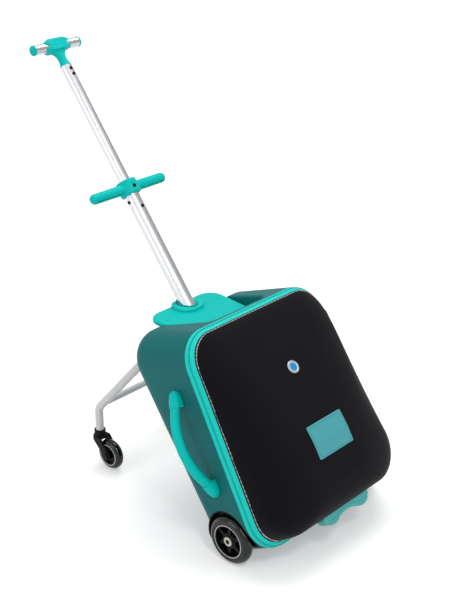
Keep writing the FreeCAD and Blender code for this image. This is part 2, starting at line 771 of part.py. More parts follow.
def build_rear_wheels():
    tyre_inner = rear_wheel_radius * tyre_inner_share
    rim_inner = rear_wheel_radius * rim_inner_share
    half = rear_wheel_width / 2
    boss = half - hub_boss_inset
    web = half - spoke_inset
    for side, word in ((-1, "left"), (1, "right")):
        centre = rear_axle + x_axis * (side * half_track)
        save("rear_tyre_" + word, wheel_tyre(centre, rear_wheel_radius, rear_wheel_width, tyre_inner))
        hub = ring(tyre_inner - bolt_gap, rim_inner, centre - x_axis * half, centre + x_axis * half)
        hub = hub.fuse(rod(hub_boss_radius, centre - x_axis * boss, centre + x_axis * boss))
        for index in range(spoke_count):
            reach = rim_inner + spoke_inset / 2
            spoke = block(-web, web, -spoke_width / 2, spoke_width / 2, bearing_radius, reach)
            spoke.rotate(origin, x_axis, 360.0 * index / spoke_count)
            spoke.translate(centre)
            hub = hub.fuse(spoke)
        hub = hub.removeSplitter()
        hub = hub.cut(across(axle_radius * 2, centre))
        bearings = []
        for end in (-1, 1):
            mouth = centre + x_axis * (end * boss)
            seat = mouth - x_axis * (end * bearing_width)
            hub = hub.cut(rod(bearing_radius, seat, mouth + x_axis * (end * overrun)))
            bearings.append(ring(bearing_radius - bolt_gap, axle_radius + bolt_gap, seat, mouth))
        save("rear_hub_" + word, hub)
        save("rear_bearings_" + word, group(bearings))
        # Housing that lines the wheel well, and the stub axle bolted into it.
        root = rear_axle + x_axis * (side * housing_back)
        face = rear_axle + x_axis * (side * well_face)
        cup = rod(well_outer, root, root + x_axis * (side * case_width))
        cup = cup.cut(rod(well_radius, face, face + x_axis * (side * case_width)))
        cup = cup.common(placed(case_solid(), case_frame))
        out = x_axis * side
        cup = cup.cut(rod(axle_radius + bolt_gap, root + out * shell_wall, face + out * overrun))
        standoff = ring(axle_radius * 2, axle_radius + bolt_gap, face, centre - out * (boss + fit_gap))
        save("wheel_housing_" + word, cup.fuse(standoff).removeSplitter())
        tip = root + out * (shell_wall + fit_gap)
        crest = centre + out * (boss + fit_gap)
        bolt = rod(axle_radius, tip, crest).fuse(rod(bolt_head_radius, crest, crest + out * bolt_head_height))
        save("axle_bolt_" + word, bolt.removeSplitter())


def case_solid():
    return Part.makeLoft([case_section(0, 0), case_section(case_depth_limit, 0)], True, True)


leg_pivot = pole_frame.multVec(at(0, back_offset + leg_pivot_gap, leg_pivot_height))
leg_bend = at(0, stem_ride, leg_bend_height)
stem_end = at(0, stem_ride, stem_end_height)
leg_run = (leg_bend - leg_pivot).normalize()
leg_bore = leg_tube_radius - leg_tube_wall


def leg_path(start, finish):
    # Straight run, one bend, then the upright stem.
    down = (finish - leg_bend).normalize()
    back = leg_run * -1
    half = back.getAngle(down) / 2
    reach = leg_bend_radius / math.tan(half)
    middle = (back + down).normalize()
    crest = leg_bend + middle * (leg_bend_radius / math.sin(half) - leg_bend_radius)
    first = leg_bend + back * reach
    last = leg_bend + down * reach
    return Part.Wire([Part.LineSegment(start, first).toShape(), Part.Arc(first, crest, last).toShape(),
                      Part.LineSegment(last, finish).toShape()])


def leg_sweep(radius, start, finish):
    ring_edge = Part.makeCircle(radius, start, leg_run)
    return leg_path(start, finish).makePipeShell([Part.Wire([ring_edge])], True, False)


def build_legs():
    heel = leg_pivot - leg_run * leg_tube_radius
    # The heel is rounded about the pivot, so that it swings clear inside the clevis.
    knuckle = rod(leg_tube_radius, heel, leg_pivot).common(across(leg_tube_radius, leg_pivot))
    tube = leg_sweep(leg_tube_radius, leg_pivot, stem_end).fuse(knuckle).removeSplitter()
    bore = leg_sweep(leg_bore, heel - leg_run * overrun, stem_end - z_axis * overrun)
    eye = rod(pivot_pin_radius + bolt_gap, leg_pivot - x_axis * overrun, leg_pivot + x_axis * overrun)
    tube = tube.cut(bore).cut(eye)
    for side, word in ((-1, "left"), (1, "right")):
        shift = x_axis * (side * leg_half_track)
        leg = tube.copy()
        leg.translate(shift)
        save("leg_tube_" + word, leg)
        pin_half = leg_tube_radius + fit_gap + ear_thickness
        hinge = leg_pivot + shift
        pin = rod(pivot_pin_radius, hinge - x_axis * pin_half, hinge + x_axis * pin_half)
        for end in (-1, 1):
            crest = hinge + x_axis * (end * (pin_half + bolt_gap))
            pin = pin.fuse(rod(pivot_head_radius, crest, crest + x_axis * (end * pivot_head)))
            pin = pin.fuse(rod(pivot_pin_radius, crest - x_axis * (end * fit_gap), crest))
        save("leg_pivot_" + word, pin.removeSplitter())
        save("leg_bracket_" + word, leg_bracket(shift))
    node = leg_bend - leg_run * cross_tube_back
    cross_half = leg_half_track
    cross = rod(cross_tube_radius, node - x_axis * cross_half, node + x_axis * cross_half)
    for side in (-1, 1):
        saddle = leg_sweep(leg_tube_radius + bolt_gap, heel, stem_end)
        saddle.translate(x_axis * (side * leg_half_track))
        cross = cross.cut(saddle)
    middle = [solid for solid in cross.Solids if abs(solid.CenterOfMass.x) < leg_tube_radius]
    cross = middle[0].cut(across(cross_tube_radius - leg_tube_wall, node))
    save("leg_crossbar", cross)


def leg_bracket(shift):
    # Clevis on the case's back: a base, two ears and a bridge that the leg rests against when open.
    pivot_level = leg_pivot_height
    pivot_out = back_offset + leg_pivot_gap
    inner = leg_tube_radius + fit_gap
    reach = pivot_out + ear_half_height
    base = block(-bracket_half_width, bracket_half_width, back_offset, back_offset + bracket_base,
                 pivot_level - bracket_half_height, pivot_level + bracket_half_height)
    bracket = base
    for side in (-1, 1):
        near = side * inner
        far = side * (inner + ear_thickness)
        ear = block(min(near, far), max(near, far), back_offset, reach + stop_start,
                    pivot_level - ear_half_height, pivot_level + ear_half_height)
        bracket = bracket.fuse(ear)
    slant = pole_frame.Rotation.inverted().multVec(leg_run)
    angle = math.degrees(math.atan2(slant.z, slant.y))
    bridge = block(-inner, inner, stop_start, stop_start + stop_length, leg_tube_radius + fit_gap,
                   leg_tube_radius + fit_gap + stop_thickness)
    bridge.rotate(origin, x_axis, angle)
    bridge.translate(at(0, pivot_out, pivot_level))
    bracket = bracket.fuse(bridge).removeSplitter()
    middle = at(0, pivot_out, pivot_level)
    bracket = bracket.cut(across(pivot_pin_radius + bolt_gap, middle))
    bracket = placed(bracket, pole_frame)
    bracket.translate(shift)
    return bracket


def build_casters():
    axle = at(0, stem_ride - caster_trail, caster_radius)
    crown_top = stem_end_height - fit_gap
    crown_low = crown_top - fork_crown_height
    tyre_inner = caster_radius * caster_tyre_share
    half = caster_width / 2
    arm_in = half + fork_side_gap
    arm_out = arm_in + fork_arm
    fork = rod(fork_crown_radius, at(0, stem_ride, crown_low), at(0, stem_ride, crown_top))
    heel = stem_ride + fork_cup_radius / 2
    fork = fork.fuse(block(-arm_out, arm_out, stem_ride - fork_crown_radius, heel, crown_low, crown_top))
    fork = fork.fuse(ring(fork_cup_radius, leg_tube_radius + fit_gap, at(0, stem_ride, crown_top),
                          at(0, stem_ride, crown_top + fork_cup_height)))
    pin_top = at(0, stem_ride, crown_top + fork_pin_length)
    fork = fork.fuse(rod(leg_bore - run_gap, at(0, stem_ride, crown_low), pin_top))
    for side in (-1, 1):
        start = side * arm_in
        arm = Part.makePolygon([at(start, stem_ride + fork_cup_radius / 2, crown_top),
                                at(start, stem_ride - fork_crown_radius, crown_top),
                                at(start, axle.y - fork_eye_radius, axle.z),
                                at(start, axle.y, axle.z - fork_eye_radius),
                                at(start, stem_ride + fork_cup_radius / 2, crown_low),
                                at(start, stem_ride + fork_cup_radius / 2, crown_top)])
        arm = Part.Face(arm).extrude(x_axis * (side * fork_arm))
        eye = rod(fork_eye_radius, axle + x_axis * start, axle + x_axis * (side * arm_out))
        fork = fork.fuse(arm).fuse(eye)
    fork = fork.removeSplitter()
    fork = fork.cut(rod(caster_radius + fork_tread_gap, axle - x_axis * arm_in, axle + x_axis * arm_in))
    fork = fork.cut(across(caster_bore + bolt_gap, axle))
    bolt = rod(caster_bore, axle - x_axis * arm_out, axle + x_axis * arm_out)
    for end in (-1, 1):
        crest = axle + x_axis * (end * (arm_out + bolt_gap))
        bolt = bolt.fuse(rod(fork_bolt_head_radius, crest, crest + x_axis * (end * fork_bolt_head)))
        bolt = bolt.fuse(rod(caster_bore, crest - x_axis * (end * fit_gap), crest))
    bolt = bolt.removeSplitter()
    web = half - caster_web_inset
    felloe = tyre_inner - caster_web_inset
    hub = ring(tyre_inner - bolt_gap, felloe, axle - x_axis * half, axle + x_axis * half)
    hub = hub.fuse(rod(tyre_inner - caster_web_inset / 2, axle - x_axis * web, axle + x_axis * web))
    boss = half + fork_side_gap - fit_gap
    hub = hub.fuse(rod(caster_boss_radius, axle - x_axis * boss, axle + x_axis * boss)).removeSplitter()
    hub = hub.cut(across(caster_bore + bolt_gap, axle))
    tyre = wheel_tyre(axle, caster_radius, caster_width, tyre_inner)
    for side, word in ((-1, "left"), (1, "right")):
        for name, shape in (("fork_", fork), ("bolt_", bolt), ("hub_", hub), ("tyre_", tyre)):
            piece = shape.copy()
            piece.translate(x_axis * (side * leg_half_track))
            save("caster_" + name + word, piece)


def build_carry_handle():
    # Bowed grip between two caps screwed to the left wall.
    top_wall = side_at(carry_top, carry_top_depth)
    low_wall = side_at(carry_bottom, carry_bottom_depth)
    top = at(-top_wall - carry_seat, carry_top_depth, carry_top)
    low = at(-low_wall - carry_seat, carry_bottom_depth, carry_bottom)
    crest = (top + low) * 0.5 - x_axis * (carry_bow - carry_seat)
    arc = Part.Arc(top, crest, low)
    path = Part.Wire([arc.toShape()])
    heading = at(*arc.tangent(arc.FirstParameter)[0])

    def grip_tube(radius):
        return path.makePipeShell([Part.Wire([Part.makeCircle(radius, top, heading)])], True, False)
    form = case_solid()
    save("carry_grip", placed(grip_tube(carry_radius).cut(form), case_frame))
    socket = grip_tube(carry_radius + slip_gap)
    rounds = [carry_cap_mouth_corner, carry_cap_mouth_corner, carry_cap_tip_corner, carry_cap_tip_corner]
    for name, centre, reach in (("carry_cap_upper", top, 1), ("carry_cap_lower", low, -1)):
        middle = centre.z + reach * carry_cap_shift
        mouth = middle - reach * carry_cap_half_length
        tip = middle + reach * carry_cap_half_length
        # Caps run from a broad mouth round the grip to a low narrow tip.
        root = centre.x + carry_seat + carry_cap_root
        outer = centre.x + carry_seat - carry_cap_height
        loops = []
        for plane, draft, slope in ((root, 0, 0), (outer, carry_cap_draft, carry_cap_slope)):
            end = tip - reach * slope
            corners = [at(plane, centre.y - carry_cap_mouth + draft, mouth),
                       at(plane, centre.y + carry_cap_mouth - draft, mouth),
                       at(plane, centre.y + carry_cap_tip - draft, end),
                       at(plane, centre.y - carry_cap_tip + draft, end)]
            loops.append(rounded_wire(corners, *rounds))
        cap = Part.makeLoft(loops, True, True)
        rim = [edge for edge in cap.Edges if edge.BoundBox.XMax < outer + run_gap]
        cap = cap.makeFillet(carry_cap_round, rim)
        save(name, placed(cap.cut(form).cut(socket), case_frame))


build_case()
build_seat()
build_zip()
build_cover()
build_slider()
build_lower_pole()
build_upper_pole()
build_rear_wheels()
build_legs()
build_casters()
build_carry_handle()
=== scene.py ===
import json
import math
import bpy
from mathutils import Matrix, Vector, noise


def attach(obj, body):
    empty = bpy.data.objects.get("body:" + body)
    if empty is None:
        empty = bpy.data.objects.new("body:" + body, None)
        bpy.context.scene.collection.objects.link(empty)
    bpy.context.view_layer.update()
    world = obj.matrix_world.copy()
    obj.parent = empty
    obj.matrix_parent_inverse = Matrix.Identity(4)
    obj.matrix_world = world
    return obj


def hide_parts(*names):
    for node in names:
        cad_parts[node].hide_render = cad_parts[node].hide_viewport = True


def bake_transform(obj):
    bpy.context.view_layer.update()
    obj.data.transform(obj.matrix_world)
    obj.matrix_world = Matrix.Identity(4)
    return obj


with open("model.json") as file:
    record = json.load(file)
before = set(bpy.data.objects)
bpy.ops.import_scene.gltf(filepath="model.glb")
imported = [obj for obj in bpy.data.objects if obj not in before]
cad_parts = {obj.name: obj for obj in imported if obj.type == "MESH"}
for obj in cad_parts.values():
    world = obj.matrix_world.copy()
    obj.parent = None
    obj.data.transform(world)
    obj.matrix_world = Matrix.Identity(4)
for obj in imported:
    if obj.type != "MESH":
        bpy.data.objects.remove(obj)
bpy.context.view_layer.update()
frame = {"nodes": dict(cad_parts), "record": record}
nodes = frame["nodes"]
mm = 0.001
bothSides = ((-1, "Left"), (1, "Right"))

# Stance of the case and the pole, the same as in the part's source
stance = {"caseLean": 30.25, "poleLean": 38.1, "axleHeight": 45 * mm, "axleBelowRim": 160.3 * mm,
          "axleBehindRim": 57.2 * mm, "poleBehindRim": 105.6 * mm}
caseLean = math.radians(stance["caseLean"])
poleLean = math.radians(stance["poleLean"])
caseUp = Vector((0, math.sin(caseLean), math.cos(caseLean)))
caseBack = Vector((0, math.cos(caseLean), -math.sin(caseLean)))
axle = Vector((0, 0, stance["axleHeight"]))
rimCentre = axle + caseUp * stance["axleBelowRim"] - caseBack * stance["axleBehindRim"]
poleCentre = rimCentre + caseBack * stance["poleBehindRim"]
# In the face frame X is across, Y up the panel and Z out of it; in the pole frame Z is up the pole
faceFrame = Matrix.Translation(rimCentre) @ Matrix.Rotation(math.pi / 2 - caseLean, 4, "X")
poleFrame = Matrix.Translation(poleCentre) @ Matrix.Rotation(-poleLean, 4, "X")
print("frame loaded with", len(nodes), "pieces")


def hexColor(text):
    # sRGB hex to a linear colour
    channels = [int(text[i:i + 2], 16) / 255 for i in (1, 3, 5)]
    return [c / 12.92 if c <= 0.04045 else ((c + 0.055) / 1.055) ** 2.4 for c in channels] + [1.0]


def perMm(size):
    return 1000.0 / size    # pattern scale on object coordinates for a feature of this many millimetres


def addNode(tree, kind, values=None, links=None, **settings):
    node = tree.nodes.new(kind)
    for key, value in settings.items():
        setattr(node, key, value)
    for key, value in (values or {}).items():
        node.inputs[key].default_value = value
    for key, source in (links or {}).items():
        tree.links.new(source, node.inputs[key])
    return node


def newMaterial(name, **sockets):
    material = bpy.data.materials.new(name)
    material.use_nodes = True
    tree = material.node_tree
    shader = tree.nodes["Principled BSDF"]
    for key, value in sockets.items():
        shader.inputs[key.replace("_", " ")].default_value = value
    place = addNode(tree, "ShaderNodeTexCoord").outputs["Object"]
    return material, tree, shader, place


def turned(tree, place, turn, scale=(1.0, 1.0, 1.0)):
    return addNode(tree, "ShaderNodeMapping", {"Rotation": turn, "Scale": scale},
                   {"Vector": place}).outputs["Vector"]


def clouds(tree, place, size, detail):
    # noise with features of this many millimetres
    return addNode(tree, "ShaderNodeTexNoise", {"Scale": perMm(size), "Detail": detail},
                   {"Vector": place}).outputs["Fac"]


def bands(tree, place, size, distortion, direction):
    # light and dark bands, each this many millimetres wide; the node's wave runs 20 radians to the unit
    return addNode(tree, "ShaderNodeTexWave", {"Scale": perMm(size) / 20 * math.pi, "Distortion": distortion},
                   {"Vector": place}, bands_direction=direction).outputs["Fac"]


def tint(tree, shader, factor, low, high):
    blend = addNode(tree, "ShaderNodeMix", {6: hexColor(low), 7: hexColor(high)}, {0: factor}, data_type="RGBA")
    tree.links.new(blend.outputs[2], shader.inputs["Base Color"])


def gloss(tree, shader, factor, low, high):
    spread = addNode(tree, "ShaderNodeMapRange", {"To Min": low, "To Max": high}, {"Value": factor})
    tree.links.new(spread.outputs["Result"], shader.inputs["Roughness"])


def relief(tree, shader, height, depth):
    bump = addNode(tree, "ShaderNodeBump", {"Strength": 1.0, "Distance": depth}, {"Height": height})
    tree.links.new(bump.outputs["Normal"], shader.inputs["Normal"])


# Moulded polycarbonate and ABS shell: satin, with a fine spark-eroded grain
def shellPlastic(name, low, high):
    material, tree, shader, place = newMaterial(name, IOR=1.5, Specular_IOR_Level=0.09)
    grain = clouds(tree, place, size=1.1, detail=2.0)
    tint(tree, shader, clouds(tree, place, size=120, detail=3.0), low, high)
    gloss(tree, shader, grain, low=0.38, high=0.50)
    relief(tree, shader, grain, depth=0.04 * mm)
    return material


# Injection moulded polypropylene: smoother than the shell, faint flow clouds
def mouldedPlastic(name, low, high, rough):
    material, tree, shader, place = newMaterial(name, IOR=1.49, Specular_IOR_Level=0.1)
    flow = clouds(tree, place, size=45, detail=4.0)
    tint(tree, shader, flow, low, high)
    gloss(tree, shader, flow, low=rough - 0.05, high=rough + 0.06)
    relief(tree, shader, clouds(tree, place, size=0.8, detail=1.0), depth=0.015 * mm)
    return material


# Woven polyester: plain weave of warp and weft, drawn a little coarser than real so that it shows
def wovenTape(name, low, high, thread, turn):
    material, tree, shader, place = newMaterial(name, Roughness=0.75, Sheen_Weight=0.05, Sheen_Roughness=0.5,
                                                Specular_IOR_Level=0.2)
    along = turned(tree, place, turn)
    warp = bands(tree, along, thread, distortion=0.4, direction="X")
    weft = bands(tree, along, thread, distortion=0.4, direction="Z")
    weave = addNode(tree, "ShaderNodeMath", links={0: warp, 1: weft}, operation="MULTIPLY").outputs["Value"]
    tint(tree, shader, weave, low, high)
    relief(tree, shader, weave, depth=0.12 * mm)
    return material


# Knit nylon laminated on moulded foam: deep matt black with a soft nap that catches grazing light
def knitLaminate(name, low, high):
    material, tree, shader, place = newMaterial(name, Roughness=0.85, Sheen_Weight=0.1, Sheen_Roughness=0.45,
                                                Specular_IOR_Level=0.05)
    knit = addNode(tree, "ShaderNodeTexVoronoi", {"Scale": perMm(1.1), "Randomness": 0.35},
                   {"Vector": turned(tree, place, (caseLean, 0, 0))})
    tint(tree, shader, clouds(tree, place, size=60, detail=5.0), low, high)
    relief(tree, shader, knit.outputs["Distance"], depth=0.18 * mm)
    return material


# Satin anodised aluminium tube: drawn lines run along the tube
def anodisedTube(name, low, high, turn):
    material, tree, shader, place = newMaterial(name, Metallic=1.0, Anisotropic=0.3)
    drawn = clouds(tree, turned(tree, place, turn, scale=(1.0, 1.0, 0.004)), size=0.9, detail=2.0)
    tint(tree, shader, drawn, low, high)
    gloss(tree, shader, drawn, low=0.31, high=0.33)
    return material


# Powder coat on bent steel tube: fine orange peel
def powderCoat(name, low, high):
    material, tree, shader, place = newMaterial(name, IOR=1.5, Coat_Weight=0.15, Coat_Roughness=0.3)
    peel = clouds(tree, place, size=1.6, detail=2.0)
    tint(tree, shader, peel, low, high)
    gloss(tree, shader, peel, low=0.3, high=0.42)
    relief(tree, shader, peel, depth=0.03 * mm)
    return material


# Cast polyurethane tyre: glossy black with faint dust
def castTyre(name, low, high):
    material, tree, shader, place = newMaterial(name, IOR=1.5, Specular_IOR_Level=0.4)
    dust = clouds(tree, place, size=9, detail=5.0)
    tint(tree, shader, dust, low, high)
    gloss(tree, shader, dust, low=0.06, high=0.13)
    relief(tree, shader, dust, depth=0.02 * mm)
    return material


# Plated or blackened steel fastener: bright, lightly clouded
def platedSteel(name, low, high, rough):
    material, tree, shader, place = newMaterial(name, Metallic=1.0)
    cloud = clouds(tree, place, size=4, detail=4.0)
    tint(tree, shader, cloud, low, high)
    gloss(tree, shader, cloud, low=rough, high=rough + 0.14)
    return material


# Piping cloth: two twisted strands, light and dark, drawn coarser than real so that the twist shows
def twistedCord(name, low, high, pitch):
    material, tree, shader, place = newMaterial(name, Roughness=0.8, Specular_IOR_Level=0.2)
    strand = bands(tree, turned(tree, place, (caseLean, 0, 0)), pitch, distortion=0.6, direction="DIAGONAL")
    tint(tree, shader, strand, low, high)
    relief(tree, shader, strand, depth=0.2 * mm)
    return material


shellTeal = shellPlastic("tealShellAbs", "#0f6163", "#156a6c")
# the standing foot is the shell's teal plastic; its lighter colour here is painted light
footTealPaintedLit = shellPlastic("tealFootAbsPaintedLit", "#4fa9a7", "#5cb3b1")
turquoise = mouldedPlastic("turquoisePolypropylene", "#00b6af", "#01beb6", 0.45)
coilTurquoise = mouldedPlastic("turquoiseCoilNylon", "#10b2a9", "#16bbb2", 0.4)
zipTurquoise = wovenTape("turquoiseZipTape", "#14c4ba", "#20d2c8", 0.9, (caseLean, 0, 0))
coverBlack = knitLaminate("blackKnitLaminate", "#0e0c10", "#141217")
pipingGrey = twistedCord("greyPipingCord", "#77777a", "#bfc0c2", 2.2)
hingeBlack = wovenTape("blackHingeWebbing", "#0b0b0c", "#1c1c1f", 1.2, (caseLean, 0, 0))
liningGrey = wovenTape("charcoalLining", "#2c2e31", "#3c3f43", 1.0, (0.6, 0.6, 0.6))
anodised = anodisedTube("anodisedPoleTube", "#cdcfd2", "#d1d3d5", (poleLean, 0, 0))
anodisedCross = anodisedTube("anodisedCrossTube", "#c4c2c4", "#cccacb", (0, math.pi / 2, 0))
legGrey = powderCoat("greyPowderCoat", "#c6c6c8", "#cfcfd1")
blackNylon = mouldedPlastic("blackNylon", "#0d0d0f", "#131316", 0.45)
tyreBlack = castTyre("blackPolyurethane", "#050506", "#09090b")
hubBlack = mouldedPlastic("blackHubNylon", "#0a0a0b", "#0f0f11", 0.3)
boltSteel = platedSteel("zincSteel", "#b0aca4", "#cfcac0", 0.24)
bezelSteel = platedSteel("brightSteel", "#b4b6bc", "#c6c8ce", 0.3)
# blackened steel of the dark fasteners, also used on the rear bolts' socket floors as painted shade
darkSteelAndSocketShade = platedSteel("blackenedSteelAndSocketShade", "#17171a", "#26262a", 0.3)
bushTurquoise = mouldedPlastic("turquoiseAcetal", "#068f8a", "#0a9993", 0.4)
badgeEnamel = mouldedPlastic("paleEnamel", "#c9cdd2", "#d6dade", 0.25)
badgeBlue = mouldedPlastic("blueEnamel", "#1c86c4", "#2a95d2", 0.15)
# a dark wire of painted shade under each handlebar bar
seamShadePainted = mouldedPlastic("shadedPartingLine", "#03403f", "#054a48", 0.6)
labelCloth = wovenTape("tealWovenLabel", "#469ca3", "#58aeb6", 1.0, (caseLean, 0, 0))
threadTeal = wovenTape("tealThread", "#33848a", "#43959b", 0.6, (caseLean, 0, 0))

finishes = {"shell_teal": shellTeal, "turquoise": turquoise, "zip_turquoise": zipTurquoise,
            "cover_black": coverBlack, "piping_grey": pipingGrey, "hinge_black": hingeBlack,
            "lining_grey": liningGrey, "anodised": anodised, "leg_grey": legGrey, "black_plastic": blackNylon,
            "tyre_black": tyreBlack, "hub_black": hubBlack, "steel": boltSteel, "dark_steel": darkSteelAndSocketShade,
            "bush_dark": bushTurquoise, "badge_white": badgeEnamel, "label_teal": labelCloth}
for part in frame["record"]["subparts"]:
    cad = nodes[part["node"]]
    cad.data.materials.clear()
    cad.data.materials.append(finishes[part["material_slot"]])
nodes["t_bar"].data.materials[0] = anodisedCross
nodes["pole_sleeve"].data.materials[0] = shellTeal    # shows as a moulded pocket below the seat plate
for word in ("left", "right"):
    nodes["rear_bearings_" + word].data.materials[0] = hubBlack    # rubber-sealed faces
    nodes["caster_bolt_" + word].data.materials[0] = darkSteelAndSocketShade
print("finishes set on the solids")

# Points closer than this are joined, and edges sharper than a crease angle in degrees stay sharp
weld = {"solid": 0.01 * mm, "band": 0.02 * mm}
crease = {"cloth": 50, "wire": 60, "edge": 40, "ball": 80, "bolt": 35}


def clearPick():
    if bpy.context.object and bpy.context.object.mode != "OBJECT":
        bpy.ops.object.mode_set(mode="OBJECT")
    bpy.ops.object.select_all(action="DESELECT")


def pick(piece):
    clearPick()
    piece.select_set(True)
    bpy.context.view_layer.objects.active = piece


def newPiece(add, place=(0, 0, 0), **settings):
    # whatever the operator adds, at the origin unless a place is given
    clearPick()
    add(location=place, **settings)
    return bpy.context.object


def openMesh():
    bpy.ops.object.mode_set(mode="EDIT")
    bpy.ops.mesh.select_all(action="SELECT")


def closeMesh():
    bpy.ops.object.mode_set(mode="OBJECT")


def closeHoles(piece):
    pick(piece)
    openMesh()
    bpy.ops.mesh.fill_holes(sides=0)
    closeMesh()


def faceOutward(piece):
    pick(piece)
    openMesh()
    bpy.ops.mesh.normals_make_consistent(inside=False)
    closeMesh()


def drawOn(rise, growX, growY):
    # the picked edges drawn on by one step along Z, then scaled about the origin
    bpy.ops.mesh.extrude_edges_move(TRANSFORM_OT_translate={"value": (0, 0, rise)})
    bpy.ops.transform.resize(value=(growX, growY, 1), center_override=(0, 0, 0))


def easedBox(size, ease):
    box = newPiece(bpy.ops.mesh.primitive_cube_add, size=1)
    openMesh()
    bpy.ops.transform.resize(value=size)
    bpy.ops.mesh.bevel(offset=ease, segments=2, affect="EDGES")
    closeMesh()
    return box


def useModifier(piece, kind, **settings):
    pick(piece)
    modifier = piece.modifiers.new(kind.lower(), kind)
    for key, value in settings.items():
        setattr(modifier, key, value)
    bpy.ops.object.modifier_apply(modifier=modifier.name)


def moveMesh(piece, matrix):
    piece.data.transform(matrix)
    piece.data.update()


def smoothByAngle(piece, degrees):
    pick(piece)
    bpy.ops.object.shade_smooth_by_angle(angle=math.radians(degrees))


def dress(piece, name, finish):
    piece.name = name
    piece.data.name = name
    piece.data.materials.clear()
    piece.data.materials.append(finish)


def settle(piece, name, body, finish, slot, *replaced):
    dress(piece, name, finish)
    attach(piece, body)
    if replaced:
        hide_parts(*replaced)


def setDown(piece, place, degrees, *settled):
    # moved into its place, smoothed and settled
    moveMesh(piece, place)
    smoothByAngle(piece, degrees)
    settle(piece, *settled)


def copyOf(node):
    # a solid's own mesh, with its loose triangles joined
    piece = bpy.data.objects.new(node + "Copy", nodes[node].data.copy())
    bpy.context.collection.objects.link(piece)
    pick(piece)
    openMesh()
    bpy.ops.mesh.customdata_custom_splitnormals_clear()
    bpy.ops.mesh.remove_doubles(threshold=weld["solid"])
    closeMesh()
    return piece


def spotsOf(node, toFrame):
    return [toFrame @ vert.co for vert in nodes[node].data.vertices]


def extent(node, toFrame):
    # lowest and highest corner of a solid, seen in another frame
    spots = spotsOf(node, toFrame)
    return [[end(spot[i] for spot in spots) for i in range(3)] for end in (min, max)]


def keepFaces(piece, wanted):
    pick(piece)
    bpy.ops.object.mode_set(mode="EDIT")
    bpy.ops.mesh.select_mode(type="FACE")
    bpy.ops.mesh.select_all(action="DESELECT")
    closeMesh()
    for face in piece.data.polygons:
        face.select = not wanted(face)
    bpy.ops.object.mode_set(mode="EDIT")
    bpy.ops.mesh.delete(type="FACE")
    bpy.ops.mesh.select_mode(type="VERT")
    closeMesh()


# Rim of the case, seen square on: wider at the bottom, with round corners
rim = {"lowHalf": 187 * mm, "highHalf": 175 * mm, "halfHeight": 199 * mm, "corner": 60 * mm, "cornerSteps": 18,
       "hingeHalf": 110 * mm, "zipMiddle": 8.3 * mm}


def rimLoop(inset, out):
    # the rim's outline as a loop of edges in the face frame
    piece = newPiece(bpy.ops.mesh.primitive_plane_add, size=1)
    tall = rim["halfHeight"] - inset
    for vert in piece.data.vertices:
        half = rim["highHalf"] if vert.co.y > 0 else rim["lowHalf"]
        vert.co = (math.copysign(half - inset, vert.co.x), math.copysign(tall, vert.co.y), out)
    openMesh()
    bpy.ops.mesh.bevel(offset=rim["corner"] - inset, offset_type="OFFSET", segments=rim["cornerSteps"],
                       profile=0.5, affect="VERTICES")
    bpy.ops.mesh.select_all(action="SELECT")
    bpy.ops.mesh.delete(type="ONLY_FACE")
    closeMesh()
    return piece


def rimBand(steps):
    # a band round the rim: the loop is drawn along a closed section of (inset, out) steps
    piece = rimLoop(*steps[0])
    wide = rim["lowHalf"]
    tall = rim["halfHeight"]
    openMesh()
    before = steps[0]
    for inset, out in list(steps[1:]) + [steps[0]]:
        drawOn(out - before[1], (wide - inset) / (wide - before[0]), (tall - inset) / (tall - before[0]))
        before = (inset, out)
    bpy.ops.mesh.select_all(action="SELECT")
    bpy.ops.mesh.remove_doubles(threshold=weld["band"])
    closeMesh()
    faceOutward(piece)
    return piece


def cutAtHinge(piece):
    # cut through at both ends of the fabric hinge
    pick(piece)
    for side in (-1, 1):
        openMesh()
        bpy.ops.mesh.bisect(plane_co=(side * rim["hingeHalf"], 0, 0), plane_no=(1, 0, 0))
        closeMesh()


def splitAtHinge(piece, keepHinge):
    # the zip runs round the case except along the fabric hinge at the bottom
    cutAtHinge(piece)
    keepFaces(piece, lambda face: (abs(face.center.x) < rim["hingeHalf"] and face.center.y < 0) == keepHinge)
    closeHoles(piece)
    faceOutward(piece)


def runAlong(piece, path, pitch):
    # one modelled piece repeated along a loop of edges, then bent round it
    pick(path)
    bpy.ops.object.convert(target="CURVE")
    curve = bpy.context.object
    curve.data.twist_mode = "Z_UP"
    useModifier(piece, "ARRAY", fit_type="FIT_CURVE", curve=curve, use_relative_offset=False,
                use_constant_offset=True, constant_offset_displace=(pitch, 0, 0))
    useModifier(piece, "CURVE", object=curve, deform_axis="POS_X")
    bpy.data.objects.remove(curve)


# Cover: moulded foam dome under knit fabric, remade as one even skin and hollowed again
cover = {"voxel": 2.5 * mm, "softenSteps": 5, "soften": 0.5, "base": 19.4 * mm, "skinAbove": 0.2 * mm,
         "openBelow": 1.5 * mm, "facingDown": -0.6, "wall": 2.6 * mm, "core": Vector((0, -60 * mm, 24 * mm))}
coverCloth = copyOf("cover_shell")
moveMesh(coverCloth, faceFrame.inverted())
keepFaces(coverCloth, lambda face: face.center.z > cover["base"] + cover["skinAbove"]
          and face.normal.dot(face.center - cover["core"]) > 0)
closeHoles(coverCloth)
useModifier(coverCloth, "REMESH", mode="VOXEL", voxel_size=cover["voxel"], use_smooth_shade=True)
useModifier(coverCloth, "SMOOTH", factor=cover["soften"], iterations=cover["softenSteps"])
keepFaces(coverCloth, lambda face: face.center.z > cover["base"] + cover["openBelow"]
          or face.normal.z > cover["facingDown"])
useModifier(coverCloth, "SOLIDIFY", thickness=cover["wall"], offset=-1)
moveMesh(coverCloth, faceFrame)
settle(coverCloth, "coverCloth", "cover", coverBlack, "cover_black", "cover_shell")
print("cover cloth", len(coverCloth.data.polygons), "faces")

